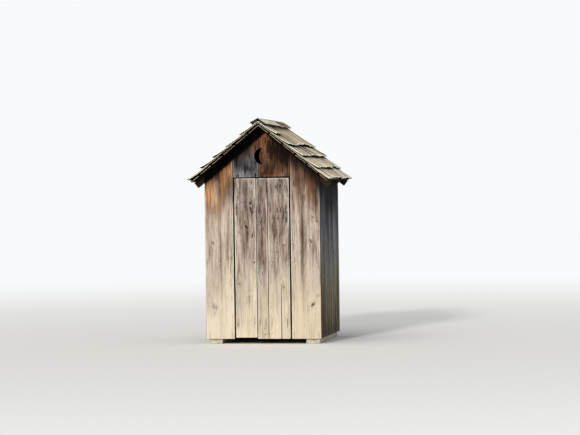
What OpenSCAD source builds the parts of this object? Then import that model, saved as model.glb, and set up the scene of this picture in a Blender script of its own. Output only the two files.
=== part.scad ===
// Small plank outhouse on two skids, with a gable roof of lapped wooden shakes.
// Millimetres. The front faces -Y, +Z is up, and the origin is on the ground under the roof's centre.

/* [Building] */
// Width across the front boards
house_w = 1220; // [1000:10:1500]
// Depth from the front boards' face to the back boards' face
house_d = 1220; // [1000:10:1500]
// Height of the bottom ends of the wall boards above the ground
board_drop = 50; // [30:5:80]
// Gap between two neighbouring boards
board_gap = 3; // [1:1:6]

/* [Roof] */
// Slope of both roof sides in degrees
roof_pitch = 39; // [30:1:48]
// Height of the roof deck's plane at the eaves
eave_h = 1678; // [1500:1:2100]
// Horizontal reach of the eaves past the side walls
eave_reach = 153; // [110:1:220]
// Reach of the roof past the front wall
front_overhang = 177; // [80:1:260]
// Reach of the roof past the back wall
back_overhang = 73; // [40:1:200]
// Thickness of the roof boards
deck_t = 20; // [16:1:28]
// Gap between two roof boards
deck_gap = 19; // [5:1:40]
// Distance from the shake eave up to the lowest roof board
deck_setback = 45; // [20:1:70]
// Distance from the shakes' rake edge in to the roof boards' ends
deck_inset = 28; // [0:1:40]

/* [Shakes] */
// Length of a shake
shake_len = 450; // [400:5:600]
// Thickness of a shake at its butt
shake_t = 14; // [10:0.5:20]
// Thickness of a shake at its head
shake_head_t = 4; // [2:0.5:6]
// Distance from the topmost course's butts up to the ridge
top_run = 246; // [150:1:300]
// Gap between two neighbouring shakes
shake_gap = 4; // [1:0.5:10]
// Length by which the most worn butts fall short
most_worn = 9; // [0:0.5:20]
// Thickness of the starter course at its butt
starter_t = 13; // [8:0.5:18]
// Length of the starter course
starter_len = 300; // [250:5:350]
// How far the starter's butt sits back from the first course
starter_setback = 6; // [0:1:20]
// Length of the topmost course that is left on the right side
remnant_len = 300; // [100:10:600]
// Running gap between lapped pieces
lap_gap = 0.3; // [0.1:0.1:1]

/* [Ridge boards] */
// Width of the left ridge board at the front
left_ridge_w = 88; // [70:1:140]
// Width of the left ridge board at the back
left_ridge_back_w = 86; // [70:1:140]
// Thickness of the left ridge board
left_ridge_t = 16; // [12:1:30]
// Slope of the left ridge board in degrees
left_ridge_pitch = 28; // [24:0.5:36]
// Width of the front one of the right ridge boards at its front end
right_ridge_w = 93; // [60:1:120]
// Width of the front one of the right ridge boards at its back end
right_ridge_back_w = 93; // [60:1:130]
// Width of the back one of the right ridge boards
back_ridge_w = 101; // [60:1:130]
// Thickness of the right ridge boards
right_ridge_t = 14; // [12:1:25]
// Slope of the right ridge boards in degrees
right_ridge_pitch = 34; // [30:0.5:38]
// Length of the right ridge board at the back
back_ridge_len = 570; // [300:10:900]
// Height by which a scrap of shake lifts the front ends of the ridge boards
ridge_lift = 14; // [8:1:20]
// Length of that scrap along the ridge
shim_len = 100; // [50:10:200]

/* [Timber] */
// Thickness of the wall boards
board_t = 25; // [19:1:32]
// Thickness of studs, joists, plates and rafters
stud_t = 38; // [32:1:50]
// Width of studs, joists and plates
stud_w = 89; // [70:1:100]
// Depth of the rafters and of the headers
rafter_h = 67; // [60:1:90]
// Width of each skid
skid_w = 140; // [90:5:180]
// Height of each skid
skid_h = 89; // [70:1:120]
// Thickness of the floor boards
floor_t = 25; // [19:1:32]
// Number of floor boards
floor_rows = 8; // [5:1:10]
// Number of joists on the skids
joist_count = 4; // [3:1:6]
// Width of each side wall board
side_board_w = 305; // [200:5:320]
// Number of back wall boards
back_rows = 4; // [3:1:6]
// Reach of the rafter tails' lower tips past the side walls
tail_reach = 72; // [40:1:110]
// Width of a rafter's seat on the plate
seat_w = 35; // [25:1:45]
// Clearance around a rafter tail in the side boards
tail_clearance = 2; // [1:0.5:5]
// Height of the middle of the wall girts
girt_mid_z = 900; // [700:10:1100]

/* [Door] */
// Width of the front board to the left of the door
left_front_w = 303; // [250:1:350]
// Width of the front board to the right of the door
right_front_w = 311; // [250:1:350]
// Gap along each upright edge of the door
door_gap = 12; // [10:1:16]
// Height of the door's top edge
door_top = 1728; // [1600:1:1760]
// Gap over the door
head_gap = 12; // [8:1:16]
// Thickness of the door boards
door_t = 19; // [16:1:19]
// Width of the door board at the hinges
hinge_board_w = 230; // [180:1:250]
// Width of the middle door board
mid_board_w = 118; // [80:1:160]
// Gap between two door boards
door_seam = 2.5; // [1:0.5:5]
// How much higher the hinge side door board ends
short_board = 13; // [0:1:40]
// Height of a door batten
batten_h = 92; // [60:1:120]
// Thickness of a door batten
batten_t = 19; // [15:1:25]
// Distance from the door's upright edges to the battens' ends
batten_inset = 25; // [20:1:60]
// Width of the stop that each door stud makes behind the door
stop_w = 15; // [8:1:25]
// Seam between the two gable boards, right of the middle
gable_seam_x = -29; // [-80:1:80]
// How much lower the left gable board ends than the right one
gable_drop = 4; // [0:0.5:5]
// Sideways place of the split in the latch side door board, from its inner edge
split_x = 133; // [40:1:160]
// Length of the split, from the board's bottom end
split_len = 590; // [200:10:900]
// Width of the split at the bottom end
split_w = 3; // [1.5:0.5:5]

/* [Crescent] */
// Radius of the crescent's outer curve
moon_r = 86; // [50:1:100]
// Thickness of the crescent at its middle
moon_t = 53; // [20:1:70]
// Sideways place of the crescent's tips
moon_x = 11; // [-40:1:60]
// Height of the crescent's middle
moon_z = 1956; // [1900:1:2000]

/* [Hinges] */
// Height of each hinge
hinge_h = 120; // [90:5:150]
// Height of the lower hinge's middle
low_hinge_z = 240; // [220:1:400]
// Height of the upper hinge's middle
high_hinge_z = 1420; // [1300:1:1550]
// Radius of the hinge pin
pin_r = 2.5; // [2:0.1:3.5]
// Radial clearance of the pin in its knuckles
pin_clearance = 0.05; // [0.02:0.01:0.1]
// Distance of the pin's axis in front of the boards
pin_proud = 4.5; // [4:0.1:7]
// Thickness of the hinge leaves
leaf_t = 2; // [1.5:0.1:3]
// Gap between two knuckles
knuckle_gap = 0.5; // [0.3:0.1:1]

/* [Hidden] */

roof_len = front_overhang + house_d + back_overhang;
roof_front = -roof_len / 2;
roof_back = roof_len / 2;
front_y = roof_front + front_overhang;
back_y = front_y + house_d;
half_w = house_w / 2;

// The frame stands inside the wall boards on all four sides.
frame_x = half_w - board_t;
frame_front = front_y + board_t;
frame_back = back_y - board_t;
frame_len = frame_back - frame_front;

joist_top = skid_h + stud_t;
floor_top = joist_top + floor_t;

eave_x = half_w + eave_reach;
slope_len = eave_x / cos(roof_pitch);
courses = 5;
exposure = (slope_len - top_run) / (courses - 1);
ridge_clear = 0.5;
end_cut = 5;
shim_setback = 6;
shim_low_x = 14;
shim_high_x = 64;
seat_gap = 0.3;

// Height of the roof deck's upper plane over a place x
function deck_z(x) = eave_h + (eave_x - abs(x)) * tan(roof_pitch);
// Height of the rafters' upper and lower edges over a place x
function rafter_top_z(x) = deck_z(x) - deck_t / cos(roof_pitch);
function rafter_low_z(x) = rafter_top_z(x) - rafter_h / cos(roof_pitch);

plate_top = rafter_low_z(frame_x - seat_w);
plate_bottom = plate_top - stud_t;
header_bottom = door_top - stop_w;
gable_bottom = door_top + head_gap;
rafter_ys = [frame_front, (frame_front + frame_back - stud_t) / 2, frame_back - stud_t];

door_left = -half_w + left_front_w + door_gap;
door_right = half_w - right_front_w - door_gap;
mid_board_left = door_left + hinge_board_w + door_seam;
mid_board_right = mid_board_left + mid_board_w;
door_hole_left = door_left - door_gap;
door_hole_right = door_right + door_gap;

pin_x = door_left - door_gap / 2;
pin_y = front_y - pin_proud;
hinge_zs = [low_hinge_z, high_hinge_z];

// Relative widths of the roof boards on one side, from the eave up
deck_shares = [107, 145, 138, 152, 156, 144];

// Relative widths of the shakes in each row, from the front on the right side and from the back on the left one
starter_shares = [330, 200, 260, 310, 180, 190];
course_shares = [
    [265, 190, 230, 210, 245, 330],
    [190, 150, 220, 240, 200, 260, 210],
    [250, 180, 250, 230, 200, 360],
    [160, 310, 150, 240, 330, 280],
    [240, 300, 205, 280, 270, 175]
];
remnant_shares = [160, 140];

// The leaves lie on both sides of the door's gap, and each one's middle plane touches its knuckles.
knuckle_r = (door_gap - leaf_t) / 2;
knuckles = 5;
knuckle_len = (hinge_h - (knuckles - 1) * knuckle_gap) / knuckles;
pin_head_r = 3.6;
pin_head_h = 2.5;
leaf_margin = 2;
round_fn = 48;

wood_grey = [0.66, 0.61, 0.54];
wood_tan = [0.76, 0.70, 0.60];
wood_brown = [0.50, 0.38, 0.26];
wood_shade = [0.42, 0.41, 0.40];
shake_tan = [0.70, 0.65, 0.53];
rust = [0.42, 0.22, 0.13];

module skid(side)
    color(wood_tan)
        translate([side < 0 ? -frame_x : frame_x - skid_w, frame_front, 0])
            cube([skid_w, frame_len, skid_h]);

module floor_joists()
    color(wood_brown)
        for (i = [0 : joist_count - 1])
            translate([-frame_x, frame_front + i * (frame_len - stud_w) / (joist_count - 1), skid_h])
                cube([2 * frame_x, stud_w, stud_t]);

module floor_boards() {
    w = (2 * frame_x - (floor_rows - 1) * board_gap) / floor_rows;
    color(wood_grey)
        for (i = [0 : floor_rows - 1])
            translate([-frame_x + i * (w + board_gap), frame_front, joist_top])
                cube([w, frame_len, floor_t]);
}

module corner_posts()
    color(wood_brown)
        for (x = [-frame_x, frame_x - stud_w], y = [frame_front, frame_back - stud_w])
            translate([x, y, floor_top])
                cube([stud_w, stud_w, plate_bottom - floor_top]);

module door_studs()
    color(wood_brown)
        for (x = [door_hole_left + stop_w - stud_t, door_hole_right - stop_w])
            translate([x, frame_front, floor_top])
                cube([stud_t, stud_w, header_bottom - floor_top]);

// Three level rails between the corner posts, flat against the boards of the sides and the back
module wall_girts() {
    side_len = frame_len - 2 * stud_w;
    back_len = 2 * (frame_x - stud_w);
    color(wood_brown) {
        for (x = [-frame_x, frame_x - stud_t])
            translate([x, frame_front + stud_w, girt_mid_z - stud_w / 2])
                cube([stud_t, side_len, stud_w]);
        translate([-back_len / 2, frame_back - stud_t, girt_mid_z - stud_w / 2])
            cube([back_len, stud_t, stud_w]);
    }
}

module plate(side)
    color(wood_brown)
        translate([side < 0 ? -frame_x : frame_x - stud_w, frame_front, plate_bottom])
            cube([stud_w, frame_len, stud_t]);

module header(y) {
    w = 2 * (frame_x - stud_w);
    color(wood_brown)
        translate([-w / 2, y, header_bottom])
            cube([w, stud_t, rafter_low_z(frame_x - stud_w) - ridge_clear - header_bottom]);
}

// Stands a drawing of x and z upright between two places along the house
module upright(y_low, y_high)
    translate([0, y_high, 0])
        rotate([90, 0, 0])
            linear_extrude(y_high - y_low)
                children();

// Draws on the right slope: first number up the slope from the eave, second number out from the deck
module slope_section()
    translate([eave_x, eave_h])
        rotate(-roof_pitch)
            mirror([1, 0])
                children();

// Keeps what lies on the right side of the ridge
module right_half()
    intersection() {
        children();
        translate([ridge_clear / 2, 0])
            square([2 * eave_x, 2 * deck_z(0)]);
    }

module on_side(side)
    mirror([side < 0 ? 1 : 0, 0, 0])
        children();

// Rafter with a plumb cut at the ridge, a seat notched over the plate and a square-cut tail
module rafter_outline() {
    tip_x = half_w + tail_reach;
    tip = [tip_x, rafter_low_z(tip_x)];
    right_half()
        polygon([
            [0, rafter_top_z(0)],
            tip + rafter_h * [sin(roof_pitch), cos(roof_pitch)],
            tip,
            [frame_x, rafter_low_z(frame_x)],
            [frame_x, plate_top],
            [frame_x - seat_w, plate_top],
            [0, rafter_low_z(0)]
        ]);
}

module rafters(side)
    color(wood_brown)
        on_side(side)
            for (y = rafter_ys)
                upright(y, y + stud_t)
                    rafter_outline();

// Sum of the first numbers of a list
function sum_of(list, count) = count == 0 ? 0 : list[count - 1] + sum_of(list, count - 1);
function reversed(list) = [for (i = [len(list) - 1 : -1 : 0]) list[i]];
// Fraction between 0 and 1 that jumps about as its number grows
function uneven(n) = n * 0.618 - floor(n * 0.618);

module roof_boards(side) {
    count = len(deck_shares);
    share = (slope_len - deck_setback - (count - 1) * deck_gap) / sum_of(deck_shares, count);
    color(wood_brown)
        on_side(side)
            upright(roof_front + deck_inset, roof_back - deck_inset)
                right_half()
                    slope_section()
                        for (i = [0 : count - 1])
                            translate([deck_setback + share * sum_of(deck_shares, i) + i * deck_gap, -deck_t])
                                square([share * deck_shares[i], deck_t]);
}

// Lays a row of shakes side by side, each with its own wear at the butt, which its section reads as $worn
module shake_row(side, shares, y_low = roof_front, y_high = roof_back) {
    row = side < 0 ? reversed(shares) : shares;
    share = (y_high - y_low + shake_gap) / sum_of(row, len(row));
    color(shake_tan)
        on_side(side)
            for (i = [0 : len(row) - 1]) {
                y = y_low + share * sum_of(row, i);
                $worn = most_worn * uneven(row[i]);
                upright(y, y + share * row[i] - shake_gap)
                    right_half()
                        slope_section()
                            children();
            }
}

// Tapered section of a shake, sawn off short of its whole length by the wear at its butt
module shake_section(butt, length, low_rise, high_rise) {
    low_worn = low_rise * (1 - $worn / length);
    high_worn = high_rise - (high_rise - shake_head_t) * $worn / length;
    polygon([
        [butt + $worn, low_worn],
        [butt + $worn, high_worn],
        [butt + length, shake_head_t],
        [butt + length, 0]
    ]);
}

module starter_course(side)
    shake_row(side, starter_shares)
        shake_section(starter_setback, starter_len - starter_setback, 0, starter_t);

// Height of a course's butt over the deck, which follows from the course that it laps
function butt_rise(i) =
    i == 1 ? starter_t + lap_gap
           : let (top = butt_rise(i - 1) + shake_t)
             top - (top - shake_head_t) * exposure / shake_len + lap_gap;

// One course of tapered shakes, resting on the course below at their butts and on the deck at their heads
module course(side, i, shares = [], y_high = roof_back)
    shake_row(side, shares == [] ? course_shares[i - 1] : shares, roof_front, y_high)
        shake_section((i - 1) * exposure, shake_len, butt_rise(i), butt_rise(i) + shake_t);

// Where the top course's upper face, which is flatter than the deck, meets the ridge plane
top_butt_h = butt_rise(courses) + shake_t;
top_taper = (top_butt_h - shake_head_t) / shake_len;
top_course_h = (top_butt_h - top_taper * (slope_len - (courses - 1) * exposure)) / (1 + top_taper * tan(roof_pitch));
ridge_z = deck_z(0) + top_course_h / cos(roof_pitch) + lap_gap;
top_course_pitch = roof_pitch - atan(top_taper);

// Board that caps one side of the ridge, cut plumb where it meets the other one, wider at one end than at the
// other, and lifted at its front end
module ridge_board(side, w_front, w_back, t, pitch, y_low, y_high, lift = 0) {
    len = y_high - y_low;
    color(shake_tan)
        on_side(side)
            intersection() {
                translate([0, y_high, ridge_z])
                    rotate([-asin(lift / len), 0, 0])
                        rotate([0, pitch, 0])
                            linear_extrude(t)
                                polygon([
                                    [-w_front, -len - end_cut],
                                    [w_front, -len - end_cut],
                                    [w_back, end_cut],
                                    [-w_front, end_cut]
                                ]);
                translate([ridge_clear / 2, y_low, 0])
                    cube([eave_x, len, 2 * ridge_z]);
            }
}

// Scrap of shake that holds up the front end of a ridge board of a given length
module ridge_shim(side, pitch, board_len) {
    lift = ridge_lift * (1 - (shim_setback + shim_len) / board_len) - lap_gap;
    color(shake_tan)
        on_side(side)
            upright(roof_front + shim_setback, roof_front + shim_setback + shim_len)
                polygon([
                    for (x = [shim_low_x, shim_high_x])
                        [x, ridge_z - x * tan(top_course_pitch)],
                    for (x = [shim_high_x, shim_low_x])
                        [x, ridge_z + lift - x * tan(pitch)]
                ]);
}

module left_ridge() {
    ridge_board(-1, left_ridge_w, left_ridge_back_w, left_ridge_t, left_ridge_pitch, roof_front, roof_back, ridge_lift);
    ridge_shim(-1, left_ridge_pitch, roof_len);
}

module right_front_ridge() {
    y_high = roof_back - back_ridge_len - board_gap;
    ridge_board(1, right_ridge_w, right_ridge_back_w, right_ridge_t, right_ridge_pitch, roof_front, y_high, ridge_lift);
    ridge_shim(1, right_ridge_pitch, y_high - roof_front);
}

// Face of the whole gable wall, up to the roof boards
module gable_outline()
    polygon([
        [-half_w, board_drop],
        [half_w, board_drop],
        [half_w, rafter_top_z(half_w) - seat_gap],
        [0, rafter_top_z(0) - seat_gap],
        [-half_w, rafter_top_z(half_w) - seat_gap]
    ]);

// Strip of the gable wall between two places across it and above one height
module gable_strip(x_low, x_high, z_low = board_drop)
    intersection() {
        gable_outline();
        translate([x_low, z_low])
            square([x_high - x_low, 2 * deck_z(0)]);
    }

module front_board(x_low, x_high)
    color(wood_tan)
        upright(front_y, frame_front)
            gable_strip(x_low, x_high);

// Crescent between a half circle and a flatter arc through the same two tips
module crescent() {
    inner_edge = moon_r - moon_t;
    inner_c = (moon_r * moon_r - inner_edge * inner_edge) / (2 * inner_edge);
    translate([moon_x, moon_z])
        difference() {
            circle(moon_r, $fn = 2 * round_fn);
            translate([inner_c, 0])
                circle(inner_c + inner_edge, $fn = 2 * round_fn);
            translate([0, -2 * moon_r])
                square(4 * moon_r);
        }
}

module gable_board(x_low, x_high, z_low)
    color(wood_brown)
        upright(front_y, frame_front)
            difference() {
                gable_strip(x_low, x_high, z_low);
                crescent();
            }

// Side wall boards, notched around the rafter tails that pass over them
module side_boards(side) {
    count = ceil(frame_len / (side_board_w + board_gap));
    notch = stud_t + 2 * tail_clearance;
    color(wood_shade)
        on_side(side)
            difference() {
                for (i = [0 : count - 1]) {
                    y = frame_front + i * (side_board_w + board_gap);
                    w = min(side_board_w, frame_back - y);
                    translate([frame_x, y, board_drop])
                        cube([board_t, w, plate_top - board_drop]);
                }
                for (y = rafter_ys)
                    upright(y - tail_clearance, y - tail_clearance + notch)
                        polygon([
                            [frame_x - board_t, rafter_low_z(frame_x - board_t) - tail_clearance],
                            [half_w + board_t, rafter_low_z(half_w + board_t) - tail_clearance],
                            [half_w + board_t, 2 * plate_top],
                            [frame_x - board_t, 2 * plate_top]
                        ]);
            }
}

module back_wall_boards() {
    w = (house_w - (back_rows - 1) * board_gap) / back_rows;
    color(wood_grey)
        upright(frame_back, back_y)
            for (i = [0 : back_rows - 1]) {
                x = -half_w + i * (w + board_gap);
                gable_strip(x, x + w);
            }
}

module door_board(x_low, x_high, z_low)
    color(wood_grey)
        translate([x_low, front_y, z_low])
            cube([x_high - x_low, door_t, door_top - z_low]);

// The latch side board has a split that narrows upwards from its bottom end.
module split_door_board(x_low, x_high) {
    x = x_low + split_x;
    difference() {
        door_board(x_low, x_high, board_drop);
        upright(front_y - 1, front_y + door_t + 1)
            polygon([[x - split_w / 2, board_drop - 1], [x + split_w / 2, board_drop - 1], [x, board_drop + split_len]]);
    }
}

module door_battens()
    color(wood_brown)
        for (z = hinge_zs)
            translate([door_left + batten_inset, front_y + door_t, z - batten_h / 2])
                cube([door_right - door_left - 2 * batten_inset, batten_t, batten_h]);

// Knuckles of one leaf, counted from the bottom, with the pin's bore left open
module knuckle_ring(i, r)
    translate([pin_x, pin_y, i * (knuckle_len + knuckle_gap)])
        cylinder(h = knuckle_len, r = r, $fn = round_fn);

// Leaf of a butt hinge: odd or even knuckles, and a plate that is notched beside the other leaf's knuckles
module hinge_leaf(first, plate_x, plate_back) {
    own = [for (i = [first : 2 : knuckles - 1]) i];
    other = [for (i = [1 - first : 2 : knuckles - 1]) i];
    difference() {
        union() {
            for (i = own)
                knuckle_ring(i, knuckle_r);
            difference() {
                translate([plate_x, pin_y, 0])
                    cube([leaf_t, plate_back - pin_y, hinge_h]);
                for (i = other)
                    translate([pin_x, pin_y, i * (knuckle_len + knuckle_gap) - knuckle_gap])
                        cylinder(h = knuckle_len + 2 * knuckle_gap, r = knuckle_r + knuckle_gap, $fn = round_fn);
            }
        }
        translate([pin_x, pin_y, -1])
            cylinder(h = hinge_h + 2, r = pin_r + pin_clearance, $fn = round_fn);
    }
}

module hinge_frame_leaves()
    color(rust)
        for (z = hinge_zs)
            translate([0, 0, z - hinge_h / 2])
                hinge_leaf(0, door_hole_left, frame_front - leaf_margin);

module hinge_door_leaves()
    color(rust)
        for (z = hinge_zs)
            translate([0, 0, z - hinge_h / 2])
                hinge_leaf(1, door_left - leaf_t, front_y + door_t - leaf_margin);

module hinge_pins()
    color(rust)
        for (z = hinge_zs)
            translate([pin_x, pin_y, z - hinge_h / 2 - lap_gap]) {
                translate([0, 0, -pin_head_h])
                    cylinder(h = hinge_h + 2 * (pin_head_h + lap_gap), r = pin_r, $fn = round_fn);
                for (head_z = [-pin_head_h, hinge_h + 2 * lap_gap])
                    translate([0, 0, head_z])
                        cylinder(h = pin_head_h, r = pin_head_r, $fn = round_fn);
            }

skid(-1);  // left_skid
skid(1);  // right_skid
floor_joists();
floor_boards();
corner_posts();
door_studs();
wall_girts();
plate(-1);  // left_plate
plate(1);  // right_plate
header(frame_front);  // door_header
header(frame_back - stud_t);  // back_header
rafters(-1);  // left_rafters
rafters(1);  // right_rafters
roof_boards(-1);  // left_roof_boards
roof_boards(1);  // right_roof_boards
starter_course(-1);  // left_starter_course
course(-1, 1);  // left_course_1
course(-1, 2);  // left_course_2
course(-1, 3);  // left_course_3
course(-1, 4);  // left_course_4
course(-1, 5);  // left_course_5
starter_course(1);  // right_starter_course
course(1, 1);  // right_course_1
course(1, 2);  // right_course_2
course(1, 3);  // right_course_3
course(1, 4);  // right_course_4
course(1, 5, remnant_shares, roof_front + remnant_len);  // right_course_5
left_ridge();  // left_ridge_board
right_front_ridge();  // right_ridge_board_front
ridge_board(1, back_ridge_w, back_ridge_w, right_ridge_t, right_ridge_pitch, roof_back - back_ridge_len, roof_back);  // right_ridge_board_back
front_board(-half_w, door_hole_left);  // front_board_left
front_board(door_hole_right, half_w);  // front_board_right
gable_board(door_hole_left + board_gap, gable_seam_x - board_gap / 2, gable_bottom - gable_drop);  // gable_board_left
gable_board(gable_seam_x + board_gap / 2, door_hole_right - board_gap, gable_bottom);  // gable_board_right
side_boards(-1);  // left_wall_boards
side_boards(1);  // right_wall_boards
back_wall_boards();
door_board(door_left, door_left + hinge_board_w, board_drop + short_board);  // door_board_left
door_board(mid_board_left, mid_board_right, board_drop);  // door_board_middle
split_door_board(mid_board_right + door_seam, door_right);  // door_board_right
door_battens();
hinge_frame_leaves();
hinge_door_leaves();
hinge_pins();
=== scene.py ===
import math

import bpy
import numpy as np
from mathutils import Matrix, Vector
from mathutils.geometry import delaunay_2d_cdt


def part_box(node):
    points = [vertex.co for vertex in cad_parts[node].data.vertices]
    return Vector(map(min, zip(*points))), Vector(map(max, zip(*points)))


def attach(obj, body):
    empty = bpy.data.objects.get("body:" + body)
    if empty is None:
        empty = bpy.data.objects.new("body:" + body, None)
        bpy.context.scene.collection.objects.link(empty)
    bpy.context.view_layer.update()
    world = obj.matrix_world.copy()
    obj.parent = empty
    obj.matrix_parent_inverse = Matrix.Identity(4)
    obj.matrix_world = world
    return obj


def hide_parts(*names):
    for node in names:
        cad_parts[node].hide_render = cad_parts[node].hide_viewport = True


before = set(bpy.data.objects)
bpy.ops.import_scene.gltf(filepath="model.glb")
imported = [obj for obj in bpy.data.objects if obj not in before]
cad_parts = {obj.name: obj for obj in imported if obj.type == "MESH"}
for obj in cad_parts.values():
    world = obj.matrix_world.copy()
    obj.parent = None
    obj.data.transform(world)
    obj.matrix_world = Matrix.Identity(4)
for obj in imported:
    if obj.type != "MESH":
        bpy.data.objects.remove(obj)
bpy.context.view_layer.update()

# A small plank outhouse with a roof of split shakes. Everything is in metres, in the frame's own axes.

X, Y, Z = np.eye(3)

# Camera, as fitted to the photograph, and aimed at a point on the plane of the front boards
IMAGE_WIDTH = 580
FOCAL_PIXELS = 2300
CAMERA_AZIMUTH = math.radians(10.989)
CAMERA_DISTANCE = 23.953
CAMERA_HEIGHT = 1.735
CAMERA_ROLL = math.radians(-0.791)
AIM_X = 0.295
AIM_Z = 1.314

# Light; each lamp has its strength, its degrees to the right and up, its spread in degrees and its colour
SKY_LEVEL = 0.42
SKY_SEEN = (0.94, 0.95, 0.96, 1)
LAMPS = {
    "key_lamp": (1.75, -13, 24, 7, (1.0, 0.975, 0.93)),
    "top_lamp": (1.0, -35, 68, 50, (1.0, 0.99, 0.97)),
}

# How far sideways the painted shade under the roof is shifted, so that it lies wider on the left as if lit
# from there, and how far up a shake its butt curls
PAINTED_SHADE_SHIFT = 0.045
CURL_REACH = 0.2

# How much deeper each second point of a worn outline lies, so that no three are in line
NEVER_STRAIGHT = 0.0002

# How many times narrower the worn strip, with its painted highlight, is at the sides of a block than at its
# ends
SIDE_WEAR = 4

# The distance from an edge past which wood isn't worn nor given a painted highlight, the one that marks a
# split for its painted dark, and how deep a split is
EDGE_REACH = 0.05
IN_SPLIT = -0.001
SPLIT_DEPTH = 0.006

# Distance in radii, hue and strength of a knot where there is none
NO_KNOT = (4, 0, 0)

# The way round, from across, in which knots show most
KNOT_OPEN = math.radians(225)

# Colours of the boards' inner faces
INSIDE = ((158, 132, 102), (132, 108, 82), (174, 150, 120))

# Knots in the photograph: place across and up, radius, hue from 0, dark, to 1, orange, and how much they show
KNOTS = {
    "front_board_left": [(-0.526, 1.06, 0.011, 0.85, 0.8), (-0.521, 0.40, 0.025, 0.6, 0.4)],
    "front_board_right": [
        (0.533, 1.32, 0.012, 0.95, 0.8), (0.514, 1.07, 0.014, 0.6, 0.9), (0.533, 0.415, 0.019, 0.3, 0.9),
        (0.315, 1.036, 0.006, 0.0, 0.9)
    ],
    "door_board_left": [
        (-0.12, 1.472, 0.013, 0.0, 1.0), (-0.124, 1.427, 0.009, 0.2, 0.8), (-0.168, 1.222, 0.015, 0.0, 1.0),
        (-0.085, 0.853, 0.010, 0.1, 0.8), (-0.25, 0.63, 0.014, 0.5, 0.5)
    ],
    "door_board_middle": [
        (0.013, 0.161, 0.004, 0.0, 0.9), (0.012, 0.1, 0.004, 0.0, 0.7), (0.042, 0.104, 0.003, 0.0, 0.7)
    ],
    "door_board_right": [
        (0.168, 1.31, 0.007, 0.0, 0.9), (0.23, 1.03, 0.008, 0.1, 0.9), (0.223, 0.595, 0.011, 0.7, 0.6),
        (0.094, 0.115, 0.005, 0.0, 1.0)
    ],
    "gable_board_right": [(0.06, 1.934, 0.024, 0.85, 0.95)],
    "right_wall_boards": [(0.254, 0.94, 0.014, 0.3, 0.9)],
}

# Dark weather stains in the photograph, and on the right gable board painted shade: place across and up, half
# width, half height and strength
STAINS = {
    "door_board_left": [
        (-0.165, 1.13, 0.022, 0.09, 1.0), (-0.13, 1.38, 0.02, 0.07, 0.6), (-0.15, 0.5, 0.015, 0.16, 0.7),
        (-0.19, 1.62, 0.06, 0.05, 0.4), (-0.1, 0.93, 0.03, 0.07, 0.6)
    ],
    "door_board_middle": [
        (-0.02, 1.52, 0.03, 0.05, 0.5), (-0.01, 1.3, 0.03, 0.12, 0.5), (0.0, 0.84, 0.05, 0.12, 0.6),
        (0.05, 1.62, 0.008, 0.13, 1.5)
    ],
    "door_board_right": [
        (0.2, 1.40, 0.05, 0.09, 0.7), (0.17, 1.14, 0.05, 0.12, 0.6), (0.255, 1.32, 0.02, 0.14, 0.4),
        (0.13, 1.25, 0.04, 0.2, 0.5), (0.12, 0.85, 0.05, 0.16, 0.4), (0.17, 1.64, 0.12, 0.1, 0.7),
        (0.056, 1.62, 0.006, 0.13, 1.5)
    ],
    "front_board_left": [
        (-0.48, 0.95, 0.04, 0.35, 0.35), (-0.444, 0.95, 0.01, 0.45, 1.4), (-0.38, 1.64, 0.07, 0.16, 0.9),
        (-0.5, 1.42, 0.06, 0.07, 0.6), (-0.33, 0.95, 0.015, 0.2, 0.7)
    ],
    "front_board_right": [
        (0.43, 1.1, 0.03, 0.55, 0.4), (0.425, 0.9, 0.012, 0.5, 1.4), (0.42, 1.5, 0.035, 0.16, 0.9),
        (0.56, 1.63, 0.04, 0.16, 0.9), (0.36, 1.7, 0.04, 0.12, 0.8), (0.46, 1.72, 0.12, 0.07, 0.8)
    ],
    "gable_board_left": [
        (-0.15, 1.835, 0.08, 0.045, 1.3), (-0.25, 1.92, 0.05, 0.08, 0.7), (-0.06, 1.78, 0.03, 0.05, 0.5)
    ],
    # The dark patches on the right gable board are painted shade
    "gable_board_right": [
        (0.08, 1.8, 0.1, 0.06, 0.9), (0.25, 1.9, 0.07, 0.1, 0.8), (0.15, 2.0, 0.07, 0.09, 1.4),
        (0.24, 1.96, 0.05, 0.07, 1.2), (0.08, 2.09, 0.04, 0.07, 0.8)
    ],
}

# Open splits along the grain: lower end across and up, upper end across and up, and width
SPLITS = {
    "front_board_left": [(-0.342, 0.72, -0.339, 0.86, 0.004), (-0.405, 1.42, -0.402, 1.6, 0.002)],
    "front_board_right": [(0.568, 0.88, 0.569, 1.02, 0.004), (0.32, 1.0, 0.322, 1.1, 0.003)],
    "door_board_left": [(-0.15, 0.36, -0.147, 0.52, 0.002), (-0.158, 1.04, -0.161, 1.165, 0.004)],
    "door_board_middle": [(-0.01, 1.28, -0.012, 1.425, 0.005)],
    "door_board_right": [
        (0.161, 1.36, 0.16, 1.425, 0.008), (0.195, 1.36, 0.197, 1.43, 0.005),
        (0.23, 1.28, 0.227, 1.395, 0.008), (0.26, 1.268, 0.26, 1.322, 0.008),
        (0.148, 1.13, 0.146, 1.205, 0.007), (0.121, 1.075, 0.123, 1.17, 0.006),
        (0.196, 1.12, 0.197, 1.2, 0.004), (0.084, 1.43, 0.083, 1.47, 0.005)
    ],
    "gable_board_left": [(-0.248, 1.738, -0.248, 1.776, 0.013), (-0.06, 1.738, -0.061, 1.78, 0.012)],
    "gable_board_right": [(-0.006, 1.742, -0.006, 1.782, 0.011)],
    "right_wall_boards": [(-0.168, 1.19, -0.164, 1.46, 0.005), (0.164, 1.35, 0.16, 1.49, 0.004)],
}


# Noise

def cell_value(ix, iy, seed):
    """A fixed number from 0 to 1 for each cell of a grid."""
    n = (ix.astype(np.int64) * 374761393 + iy.astype(np.int64) * 668265263 + seed * 974634777) & 0xFFFFFFFF
    n = ((n ^ (n >> 13)) * 1274126177) & 0xFFFFFFFF
    return ((n ^ (n >> 16)) & 0xFFFF) / 65535.0


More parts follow.
